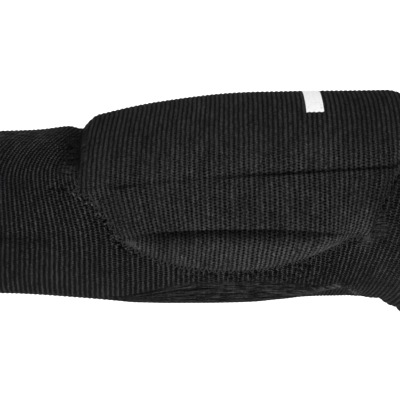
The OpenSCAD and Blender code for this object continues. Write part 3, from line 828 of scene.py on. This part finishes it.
# The ribs lean on top of the pad, between its folds and on its wings
topRibs, sideRibs, wingRibs = (bent(1.3), "t", 58, 8), (bent(1.2), "t", 58, 86), (ramp, "t", 87, 113)
coverDrift = (
    (0.9, topRibs), (1.9, (fade, "x", -74, -120), topRibs),
    (6.5, (fade, "x", -76, -135), sideRibs), (-2.0, (fade, "x", -45, -25), sideRibs),
    (-5.0, (fade, "x", -40, -16), sideRibs), (-2.5, wingRibs), (-7.0, (fade, "x", -79, -34), wingRibs),
)


def coverCourse(x, degrees):
    return (x - ribDrift(padPlaces(x, degrees), x, coverDrift, 2.0)) / cover["pitch"]


# Light and dark on the cover, much of it painted light and shade: below is millimetres from its lower fold,
# above from its upper one
paintedWingLight = (fade, "below", 2, 9)
coverShades = (
    [(-1, of("shadow"))],
    [(-0.8, (ridge, "below", 0.35, 0.55), (fade, "x", -80, -62), (fade, "x", -22, -34))],  # painted shade: the lower fold's crisp dark line
    [(-0.1, (ramp, "x", -40, -22))], [(-0.1, (ramp, "x", -95, -130))],
    # Painted light on the wings, which face down towards the pale floor
    [(0.17, paintedWingLight), (0.13, paintedWingLight, (fade, "x", -90, -45)), (0.12, paintedWingLight, (bell, "x", -37, 7))],
    [(0.4, (bell, "x", -36, 6), (fade, "below", 1, 3))],  # painted highlight on the end of the wing
    [(0.5, (bell, "x", -21, 2.5), (bell, "t", 90, 3)), (0.4, (bell, "x", -120.5, 3.5), (bell, "t", 90.5, 3))],
    # Painted highlight on the ribs above the lower fold, near the wing's end
    [(0.42, (bell, "x", -28, 5), (fade, "t", 66, 80), (ramp, "below", 4, 0))],
    [(-0.07, (fade, "t", 53, 59), (fade, "t", 82, 77), (fade, "x", -115, -95))],
    # Painted shade along the line of the upper fold
    [(-0.65, of("sharp"), (ridge, "above", 0, 0.7), (fade, "x", -134, -128), (ramp, "x", -6, -8))],
    # Then the broken dark seam, and painted shade on the pad's first millimetres at its forearm end, beside
    # the shaded hollow
    [darkSeam], [(-0.6, (ramp, "in", 1.9, 0.9), (fade, "t", 48, 36))],
)
frontSmooth = 0.95, (ramp, "in", 5, 3), (fade, "t", 46, 34)
cornerSmooth = 1.2, (bell, "x", -15, 2.6), (bell, "t", 82, 5)
coverSmooth = (0.2, (ramp, "t", 45, 25)), (0.4, (bell, "x", -37, 6), (fade, "below", 2, 5))
coverMess = (0.6, of("seamed")), (0.5, (bell, "x", -124, 3), (bell, "t", 91, 3))


# Shadow in the lower fold, deep and wide over the forearm and narrower towards the elbow
def foldShadow(x, below):
    change = ramp(-95, -50, x)
    dark = (0.9 - 0.4 * change) * np.exp(-np.maximum(below, 0) / (3.2 - 1.6 * change))
    return fade(-122, -103, x) * fade(-26, -48, x) * np.where(below > 0, dark, 0)


def coverTone(x, degrees):
    at = seamPlaces(x, degrees)
    at["below"] = arc(at["t"] - crease2(x), folds["secondR"])
    at["above"] = arc(at["t"] - crease1(x) + 2 * fade(-13.5, -9.5, x), folds["firstR"])
    at["shadow"], at["sharp"], at["in"] = foldShadow(x, at["below"]), total(at, folds["sharp"]), x - pad["x0"]
    smooth = np.maximum(product(at, *frontSmooth), product(at, *cornerSmooth)) + total(at, coverSmooth)
    return toneMap(at, coverShades, smooth, total(at, coverMess))


def coverFace(x, degrees):
    lift, inside = coverLift(x, degrees)
    return lift + cover["rib"] * ribShape(coverCourse(x, degrees)) * inside


def coverAngles(x):
    a, b, c = cover["half"]
    one, two, edge = crease1(x), crease2(x), padEdge(x)
    toFirst = quarterWave(np.arange(a) / a)[None, :]
    between = (1 - np.cos(np.pi * np.arange(b) / b))[None, :] / 2
    last = (1 - np.cos(np.pi * np.arange(c + 1) / c))[None, :] / 2
    half = np.concatenate([one * toFirst, one + (two - one) * between, two + (edge - two) * last], 1)
    return np.concatenate([-half[:, :0:-1], half], 1)


def makeCover():
    x = np.linspace(pad["x0"], pad["x1"], cover["rows"])[:, None]
    degrees = coverAngles(x)
    course = coverCourse(x, degrees)
    made = gridObject("pad_cover_knit", onForearm(x, degrees, coverFace(x, degrees)), coverKnit,
                      (course, degrees / 360 * arm["wales"]), coverTone(x, degrees),
                      np.broadcast_arrays(x, arc(degrees, cover["pullR"])))
    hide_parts("pad_cover")
    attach(made, "forearm")
    print("cover", len(made.data.polygons))


# Folded hems: a runs from the mouth towards the sleeve, r is measured from the arm's axis
cuff = {
    "layer": 1.2, "hem": 3.5, "rib": 0.3, "innerRib": 0.6, "pitch": 2.0, "columns": 180,
    "gathers": 46, "gather": 0.22, "gatherOver": 5.0, "outside": 2.0, "stitch": 15.0, "press": 0.45,
    "pressWidth": 1.9, "lap": 1.4, "lapOver": 1.0, "lapDrop": (1.0, 0.9), "lapInset": 0.2, "turned": 0.3,
    "steps": (62, 14, 40, 12, 14), "flat": (0.215, 0.037),
}


# How far the stitching presses a hem down
def stitchPress(a):
    return cuff["press"] * bell(cuff["stitch"], cuff["pressWidth"], a)


def gathers(degrees):
    return cuff["gather"] * np.sin(np.radians(degrees) * cuff["gathers"])


def cuffProfile(bore):
    length, hem, layer = arm["cuffLength"], cuff["hem"], cuff["layer"]
    fold, lapEnd, innerEnd = hem / 2, length + cuff["lap"], length - cuff["turned"]
    overLap, (drop, innerDrop), steps = (length - cuff["lapOver"], lapEnd), cuff["lapDrop"], cuff["steps"]
    a = np.linspace(lapEnd, fold, steps[0])
    down = stitchPress(a) + drop * fade(*overLap, a)
    outside = np.stack([a, bore + hem - down + cuff["rib"] * ribShape(a / cuff["pitch"])], -1)
    turn = np.linspace(0, np.pi, steps[1])[1:-1]
    mouth = np.stack([fold - fold * np.sin(turn), bore + fold + fold * np.cos(turn)], -1)
    a = np.linspace(fold, innerEnd, steps[2])
    inside = np.stack([a, bore - cuff["innerRib"] * cuff["rib"] * ribShape(a / cuff["pitch"])], -1)
    tunnelIn = np.stack([np.linspace(innerEnd, fold, steps[3]), np.full(steps[3], bore + layer)], -1)
    a = np.linspace(fold, lapEnd - cuff["lapInset"], steps[4])
    tunnelOut = np.stack([a, bore + hem - layer - innerDrop * fade(*overLap, a)], -1)
    return np.concatenate([outside, mouth, inside, tunnelIn, tunnelOut])


# Points of a hem at distance a from its mouth, on the forearm or the upper arm
def atMouth(upper, a, degrees, r):
    if upper:
        return onUpperArm(roundArm(arm["upperMouthS"] - a, degrees, r))
    return roundArm(arm["mouthX"] + a, degrees, r)


def aroundArm(columns):
    return (np.arange(columns) * 360 / columns - 180)[None, :]


def makeCuff(name, node, upper, bore, body):
    profile = cuffProfile(bore)
    n, m, flip = len(profile), cuff["columns"], not upper
    degrees = aroundArm(m)
    a, r = profile[:, :1], profile[:, 1:]
    wave = gathers(degrees) * fade(0, cuff["gatherOver"], a) * (r > bore + cuff["outside"])
    points = atMouth(upper, a, degrees, r + wave)
    course = np.concatenate([a, a[:1]]) / cuff["pitch"]
    course, wale = np.broadcast_arrays(course, degrees / 360 * arm["wales"])
    ones = np.ones(course.shape)
    faces = gridFaces(n + 1, m, 0, True, flip)
    faces = np.where(faces >= n * m, faces - n * m, faces)
    made = newObject(name, points, faces, cuffKnit, {
        "Knit": gridMap(course, wale, True, flip, 0, arm["wales"]),
        "Tone": gridMap(ones, 0 * ones, True, flip),
        "OFBake": gridMap(*spread(n + 1, m, True, *bake["sheet"]), True, flip, 1.0)})
    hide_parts(node)
    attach(made, body)


# Woven elastic inside each hem
elastic = {
    "thick": 0.8, "from": 2.0, "to": 16.0, "rows": 36, "columns": 160, "flat": (0.2, 0.014),
    "gap": 0.15, "ridge": 0.06, "pitch": 1.4, "wales": 260,
}


def makeElastic(name, node, upper, bore, body):
    degrees = aroundArm(elastic["columns"])
    a = np.linspace(elastic["from"], elastic["to"], elastic["rows"])[:, None]
    r = bore + cuff["layer"] + elastic["gap"]
    ridges = elastic["ridge"] * np.sin(a * 2 * np.pi / elastic["pitch"])
    outer = atMouth(upper, a, degrees, r + elastic["thick"] + ridges)
    inner = atMouth(upper, a, degrees, r)
    if upper:
        outer, inner = outer[::-1], inner[::-1]
    knit = np.broadcast_arrays(a / elastic["pitch"], degrees / 360 * elastic["wales"])
    made = shellObject(name, outer, inner, True, elasticBand, knit, knit, None, elastic["wales"])
    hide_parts(node)
    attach(made, body)


def zigzag(s):
    return np.abs(np.mod(s, 2) - 1)


# Height of a stitch that dips into the knit at each needle hole and arches between
def stitchArch(s):
    return np.sin(np.pi * np.mod(s, 1))


# Zigzag round a hem
hemThread = {"radius": 0.28, "width": 3.2, "pitch": 3.5, "steps": 6, "arch": 0.16, "sink": 0.02, "lift": 0.05}


def makeHemThread(name, node, upper, bore, body):
    count = 2 * round(math.pi * (bore + cuff["hem"]) / hemThread["pitch"])
    s = np.arange(count * hemThread["steps"]) / hemThread["steps"]
    degrees = s * 360 / count
    a = cuff["stitch"] + hemThread["width"] * (zigzag(s) - 0.5)
    arch = hemThread["arch"] * stitchArch(s) - hemThread["sink"]
    r = bore + cuff["hem"] - stitchPress(a) + gathers(degrees) + arch + hemThread["lift"]
    line = atMouth(upper, a, degrees, r)
    out = atMouth(upper, a, degrees, r + 1) - line
    made = tubeObject(name, [(line, out, hemThread["radius"], True)], threadBlack)
    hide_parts(node)
    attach(made, body)


# Overedge seam that sews the cover down all round, hidden under the pad's forearm end
seam = {
    "radius": 0.26, "pitch": 1.5, "width": 2.6, "steps": 4, "points": (400, 120, 160), "ahead": 8,
    "hiddenX": (0.6, 0.1), "hiddenT": (56, 46), "hiddenDepth": 2.3, "hiddenWidth": 0.7,
    "steepOver": 8.0, "steepWidth": 0.45, "steepShift": 0.35, "inside": 0.45, "uneven": 0.45,
    "unevenStep": (2.0, 5.0), "lift": 0.1, "arch": 0.25,
}


def padOutline():
    sides, elbow, forearm = seam["points"]
    x = np.linspace(pad["x0"], pad["x1"], sides)
    edge = padEdge(x)
    right = np.linspace(pad["end1"], -pad["end1"], elbow)[1:-1]
    left = np.linspace(-pad["end0"], pad["end0"], forearm)[1:-1]
    xs = np.concatenate([x, np.full(len(right), pad["x1"]), x[::-1], np.full(len(left), pad["x0"])])
    return xs, np.concatenate([edge, right, -edge[::-1], left])


def seamRun():
    xs, degrees = padOutline()
    around = arc(degrees, pad["rimR"])
    step = np.hypot(np.diff(xs, append=xs[0]), np.diff(around, append=around[0]))
    length = np.concatenate([[0], np.cumsum(step)])
    count = 2 * int(length[-1] / seam["pitch"] / 2)
    s = np.arange(count * seam["steps"]) / seam["steps"]
    at = s / count * length[-1]
    x = np.interp(at, length, np.append(xs, xs[0]))
    y = np.interp(at, length, np.append(around, around[0]))
    k = seam["ahead"]
    ahead = np.stack([np.roll(x, -k) - np.roll(x, k), np.roll(y, -k) - np.roll(y, k)], -1)
    ahead /= np.linalg.norm(ahead, axis=1, keepdims=True)
    hidden = fade(*(pad["x0"] + step for step in seam["hiddenX"]), x)
    hidden = hidden * fade(*seam["hiddenT"], np.abs(np.degrees(y / pad["rimR"])))
    steep = ramp(pad["wingX1"], pad["wingX1"] + seam["steepOver"], x)
    uneven = 1 + seam["uneven"] * wander(at / seam["unevenStep"][0], at / seam["unevenStep"][1], 4.0)
    uneven = uneven * (1 - seam["hiddenWidth"] * hidden - seam["steepWidth"] * steep)
    swing = (zigzag(s) - seam["inside"] + seam["steepShift"] * steep) * seam["width"] * uneven
    x, y = x + ahead[:, 1] * swing, y - ahead[:, 0] * swing
    degrees = np.degrees(y / pad["rimR"])
    inside = np.clip(x, pad["x0"], pad["x1"])
    onPad = (np.abs(degrees) < padEdge(inside)) & (x > pad["x0"]) & (x < pad["x1"])
    lift = np.where(onPad, coverFace(inside, degrees), 0.0)
    lift = np.maximum(lift, -seam["lift"]) + seam["lift"]
    lift = lift + seam["arch"] * stitchArch(s) * (1 - hidden) - seam["hiddenDepth"] * hidden
    line = onForearm(x, degrees, lift)
    return line, line - onForearm(x, degrees, lift - 1), seam["radius"], True


# Bar tacks at both ends of each lower fold: how far from the wing's end, and their share of the full size
tack = {
    "radius": 0.24, "pitch": 0.9, "length": 4.6, "width": 4.0, "steps": 3, "lift": 0.25, "inset": 0.5,
    "forearm": (4.5, 1.0), "elbow": (-1, 0.6),
}


def tackRun(x, degrees, share):
    count = int(share * tack["length"] / tack["pitch"]) * 2
    s = np.arange(count * tack["steps"] + 1) / tack["steps"]
    along = (s / count - 0.5) * tack["length"] * share
    across = (zigzag(s) - 0.5) * tack["width"] * share
    turn = degrees + np.degrees(across / pad["rimR"]) * np.sign(degrees)
    lift = coverFace(np.clip(x + along, pad["x0"], pad["x1"]), turn) + tack["lift"]
    line = onForearm(x + along, turn, np.maximum(lift, tack["lift"]))
    return line, line - onForearm(x + along, turn, lift - 1), tack["radius"], False


def makeSeam():
    runs = [seamRun()]
    for side in (1, -1):
        for x, (step, share) in ((pad["wingX0"], tack["forearm"]), (pad["wingX1"], tack["elbow"])):
            runs.append(tackRun(x + step, side * (pad["corner"] - tack["inset"]), share))
    made = tubeObject("pad_seam_stitching", runs, threadBlack)
    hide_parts("pad_seam_thread")
    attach(made, "forearm")


# Foam blocks under the cover, each a slab with rounded edges between two lines
foam = {
    "gap": 0.7, "base": 1.5, "under": 0.9, "edge": 3.2, "lowerEdge": 1.5, "waist": 0.35, "least": 0.8,
    "r": 45.0, "dent": 0.15, "dentStep": (5.0, 4.0), "rows": 64, "columns": 30,
    "sideX": (-9, 7), "wingX": (10, -8),
}


def closerAtEnds(count):
    return (1 - np.cos(np.linspace(0, np.pi, count))) / 2


def makeFoam(name, node, x0, x1, low, high, mirrored):
    n, m = foam["rows"], foam["columns"]
    x = x0 + (x1 - x0) * closerAtEnds(n)[:, None]
    degrees = low(x) + (high(x) - low(x)) * closerAtEnds(m)[None, :]
    border = arc(np.minimum(degrees - low(x), high(x) - degrees), foam["r"])
    border = np.minimum(np.minimum(x - x0, x1 - x), border)
    roof = coverLift(x, degrees)[0] - cover["thick"] - foam["under"]
    dents = foam["dent"] * wander(x / foam["dentStep"][0], degrees / foam["dentStep"][1], 6.0)
    height = np.maximum(roof - foam["base"], foam["least"])
    middle = foam["base"] + foam["waist"] * height
    top = middle + (height * (1 - foam["waist"]) + dents) * rounded(border / foam["edge"])
    bottom = middle - foam["waist"] * height * rounded(border / foam["lowerEdge"])
    if mirrored:
        degrees = -degrees
    upper, lower = onForearm(x, degrees, top), onForearm(x, degrees, bottom)
    rim = np.ones((n, m), bool)
    rim[1:-1, 1:-1] = False
    index = np.where(rim.ravel(), np.arange(n * m), n * m + np.cumsum(~rim.ravel()) - 1)
    points = np.concatenate([upper.reshape(-1, 3), lower.reshape(-1, 3)[~rim.ravel()]])
    topFaces, bottomFaces = gridFaces(n, m, 0, False, mirrored), gridFaces(n, m, 0, False, not mirrored)
    made = newObject(name, points, np.concatenate([topFaces, index[bottomFaces]]), foamGrey, {})
    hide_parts(node)
    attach(made, "forearm")


# Cloth that the foam is bonded to
backing = {"rows": 70, "columns": 90, "lift": 0.75, "thick": 0.5, "thread": 0.9, "flat": (0.15, 0.14)}


def makeBacking():
    x = np.linspace(pad["x0"] + pad["margin"], pad["x1"] - pad["margin"], backing["rows"])[:, None]
    edge = np.maximum(crease1(x), padEdge(x) - np.degrees(pad["margin"] / pad["rimR"]))
    degrees = edge * np.linspace(-1, 1, backing["columns"])[None, :]
    outer = onForearm(x, degrees, backing["lift"] + backing["thick"])
    inner = onForearm(x, degrees, backing["lift"])
    knit = np.broadcast_arrays(x / backing["thread"], arc(degrees, pad["rimR"]) / backing["thread"])
    made = shellObject("foam_backing_cloth", outer, inner, False, backingCloth, knit, knit)
    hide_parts("pad_backing")
    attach(made, "forearm")


# Plain printed bar that follows the ribs under it
printed = {
    "middle": -42.5, "width": 7.5, "angle": 41.0, "lift": 0.12, "thick": 0.2, "rows": 60, "columns": 100,
    "ragged": 0.012, "raggedStep": (30, 3), "uneven": 0.008, "unevenStep": 14,
}


def makePrint():
    u = np.linspace(-1, 1, printed["rows"])[:, None]
    v = np.linspace(-1, 1, printed["columns"])[None, :]
    along, across = printed["raggedStep"]
    ragged = 1 + printed["ragged"] * wander(v * along, u * across, 8.0)
    uneven = 1 + printed["uneven"] * wander(u * printed["unevenStep"], v, 9.0)
    x = printed["middle"] + u * ragged * printed["width"] / 2
    degrees = v * uneven * printed["angle"] / 2
    lift = coverFace(x, degrees) + printed["lift"]
    knit = np.broadcast_arrays(x, degrees)
    outer, inner = onForearm(x, degrees, lift), onForearm(x, degrees, lift - printed["thick"])
    made = shellObject("print_bar_film", outer, inner, False, whiteFilm, knit, knit)
    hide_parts("print_bar")
    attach(made, "forearm")


makeSleeve()
makeCover()
for side, upper, bore, body in (("forearm", False, arm["forearmR"], "forearm"),
                                ("upper_arm", True, arm["upperR"], "upper_arm")):
    makeCuff(side + "_hem", side + "_cuff", upper, bore, body)
    makeElastic(side + "_hem_elastic", side + "_cuff_elastic", upper, bore, body)
    makeHemThread(side + "_hem_stitching", side + "_hem_thread", upper, bore, body)
print("hems")
makeSeam()
gapDegrees = np.degrees(foam["gap"] / foam["r"])
inset = np.degrees(pad["margin"] / pad["rimR"])
makeFoam("center_foam", "center_foam_block", pad["x0"] + pad["margin"], pad["x1"] - pad["margin"],
         lambda x: gapDegrees - np.minimum(crease1(x), padEdge(x) - inset),
         lambda x: np.minimum(crease1(x), padEdge(x) - inset) - gapDegrees, False)
sideX = pad["wingX0"] + foam["sideX"][0], pad["wingX1"] + foam["sideX"][1]
wingX = pad["wingX0"] + foam["wingX"][0], pad["wingEnd"] + foam["wingX"][1]
for side, mirrored in (("right", False), ("left", True)):
    makeFoam(side + "_side_foam", side + "_side_foam_block", *sideX,
             lambda x: crease1(x) + gapDegrees,
             lambda x: np.minimum(crease2(x) - gapDegrees, padEdge(x) - inset), mirrored)
    makeFoam(side + "_wing_foam", side + "_wing_foam_block", *wingX,
             lambda x: crease2(x) + gapDegrees, lambda x: padEdge(x) - inset, mirrored)
makeBacking()
makePrint()
print("pad")

# Camera at the photograph's angle: pixel is millimetres to a pixel at the arm's axis
shot = {
    "pixel": 0.45, "side": 400, "hinge": (405.0, 206.7), "tilt": 0.89, "elevation": 18.0, "distance": 620.0,
    "sensor": 36, "clip": (0.01, 50),
}


def setCamera():
    e = math.radians(shot["elevation"])
    upward, back = Vector((0, math.sin(e), math.cos(e))), Vector((0, -math.cos(e), math.sin(e)))
    half, (hingeX, hingeY) = shot["side"] / 2, shot["hinge"]
    axisY = hingeY + math.tan(math.radians(shot["tilt"])) * (hingeX - half)
    target = Vector(((half - hingeX) * shot["pixel"], 0, 0)) + upward * ((axisY - half) * shot["pixel"])
    place = (target + back * shot["distance"]) * mm
    roll = Matrix.Rotation(math.radians(-shot["tilt"]), 3, back)
    up, right = roll @ upward, roll @ Vector((1, 0, 0))
    data = bpy.data.cameras.new("Camera")
    data.sensor_width = shot["sensor"]
    data.lens = shot["sensor"] * shot["distance"] / (shot["side"] * shot["pixel"])
    data.clip_start, data.clip_end = shot["clip"]
    camera = bpy.data.objects.new("Camera", data)
    camera.matrix_world = Matrix([(right[k], up[k], back[k], place[k]) for k in range(3)] + [(0, 0, 0, 1)])
    bpy.context.scene.collection.objects.link(camera)
    bpy.context.scene.camera = camera


# Pale floor and even light, with one softbox in front; lengths here are metres
stage = {
    "world": 0.85, "floor": 0.86, "glow": 0.7, "floorReach": 6, "floorDrop": 0.001,
    "softbox": 6.0, "boxSize": (0.9, 0.7), "boxPlace": (-0.1, -1.1, 0.05), "boxAim": (-0.08, 0, 0),
}


def setStage():
    low, far = cadBox[0][2] - stage["floorDrop"], stage["floorReach"]
    mesh = bpy.data.meshes.new("Floor")
    corners = [(-far, -far, low), (far, -far, low), (far, far, low), (-far, far, low)]
    mesh.from_pydata(corners, [], [(0, 1, 2, 3)])
    floor = bpy.data.objects.new("Floor", mesh)
    bpy.context.scene.collection.objects.link(floor)
    white = stage["floor"]
    mesh.materials.append(newMaterial("PaleFloor", {
        "Base Color": (white, white, white, 1), "Roughness": 0.9, "Specular IOR Level": 0.1,
        "Emission Color": (1, 1, 1, 1), "Emission Strength": stage["glow"]})[0])
    world = bpy.data.worlds.new("Studio")
    world.use_nodes = True
    background = world.node_tree.nodes["Background"]
    background.inputs[0].default_value = (1, 1, 1, 1)
    background.inputs[1].default_value = stage["world"]
    bpy.context.scene.world = world
    data = bpy.data.lights.new("Softbox", "AREA")
    data.shape, data.energy = "RECTANGLE", stage["softbox"]
    data.size, data.size_y = stage["boxSize"]
    lamp = bpy.data.objects.new("Softbox", data)
    place = Vector(stage["boxPlace"])
    aim = (Vector(stage["boxAim"]) - place).to_track_quat("-Z", "Y").to_matrix().to_4x4()
    lamp.matrix_world = Matrix.Translation(place) @ aim
    bpy.context.scene.collection.objects.link(lamp)
    bpy.context.scene.view_settings.view_transform = "Standard"


setCamera()
setStage()
